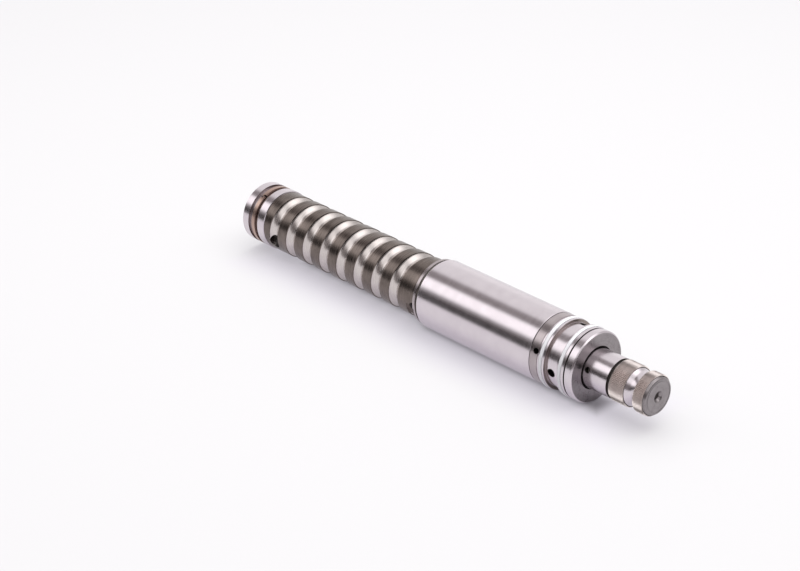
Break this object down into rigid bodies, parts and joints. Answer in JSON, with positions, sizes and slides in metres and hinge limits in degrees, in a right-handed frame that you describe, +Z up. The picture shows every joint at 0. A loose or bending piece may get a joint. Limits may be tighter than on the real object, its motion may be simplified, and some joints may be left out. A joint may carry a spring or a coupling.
{
  "type": "steering worm with rotary valve",
  "caption": "Recirculating-ball steering worm with a helical ball track, a ground valve head, a sealed rotary valve sleeve and a serrated input shaft on a torsion bar.",
  "frame": {"origin": "on the shaft's axis, at the middle of the overall length", "axes": "+X along the axis towards the serrated input end; +Z up and -Y towards the side with the shaft's cross hole"},
  "size_m": [0.379, 0.0502, 0.0502],
  "materials": {
    "ground_steel": "ground, satin",
    "dull_steel": "as heat treated, dull",
    "bronze": "satin",
    "ptfe": "smooth, waxy",
    "rubber": "matte"
  },
  "bodies": {
    "worm": {"worm_shaft": "ground_steel", "worm_end_plug": "dull_steel", "worm_cross_pin": "dull_steel", "torsion_bar": "dull_steel", "stop_bush": "dull_steel", "thrust_washer_rear": "dull_steel", "valve_sleeve": "ground_steel", "spigot_oring": "rubber", "sleeve_retaining_ring": "dull_steel", "sleeve_dowel_pin": "dull_steel", "expander_oring_rear": "rubber", "expander_oring_front": "rubber", "ptfe_ring_rear": "ptfe", "ptfe_ring_front": "ptfe", "thrust_washer_front": "dull_steel"},
    "input": {"input_shaft": "ground_steel", "input_cross_pin": "dull_steel", "torsion_bar_bush": "bronze", "torsion_bar_oring": "rubber"},
    "rear_bearing": {"needle_cage_rear": "dull_steel", "needle_rear_01": "dull_steel", "needle_rear_02": "dull_steel", "needle_rear_03": "dull_steel", "needle_rear_04": "dull_steel", "needle_rear_05": "dull_steel", "needle_rear_06": "dull_steel", "needle_rear_07": "dull_steel", "needle_rear_08": "dull_steel", "needle_rear_09": "dull_steel", "needle_rear_10": "dull_steel", "needle_rear_11": "dull_steel", "needle_rear_12": "dull_steel"},
    "front_bearing": {"needle_cage_front": "dull_steel", "needle_front_01": "dull_steel", "needle_front_02": "dull_steel", "needle_front_03": "dull_steel", "needle_front_04": "dull_steel", "needle_front_05": "dull_steel", "needle_front_06": "dull_steel", "needle_front_07": "dull_steel", "needle_front_08": "dull_steel", "needle_front_09": "dull_steel", "needle_front_10": "dull_steel", "needle_front_11": "dull_steel", "needle_front_12": "dull_steel"},
    "seal_ring": {"worm_seal_ring": "bronze"}
  },
  "joints": [
    {"name": "valve_twist", "type": "hinge", "parent": "worm", "child": "input", "pos_m": [0.12, 0, 0], "axis": [1, 0, 0], "range_deg": [-6, 6], "stiffness_Nm_per_rad": 120, "deforming": ["torsion_bar"]},
    {"name": "rear_bearing_spin", "type": "hinge", "parent": "worm", "child": "rear_bearing", "pos_m": [0.0435, 0, 0], "axis": [1, 0, 0], "range_deg": [-3, 3]},
    {"name": "front_bearing_spin", "type": "hinge", "parent": "worm", "child": "front_bearing", "pos_m": [0.1312, 0, 0], "axis": [1, 0, 0], "range_deg": [-3, 3]},
    {"name": "seal_ring_spin", "type": "hinge", "parent": "worm", "child": "seal_ring", "pos_m": [-0.176, 0, 0], "axis": [1, 0, 0], "continuous": true}
  ],
  "couplings": [
    {"joint": "rear_bearing_spin", "follows": "valve_twist", "ratio": 0.4442},
    {"joint": "front_bearing_spin", "follows": "valve_twist", "ratio": 0.454}
  ]
}
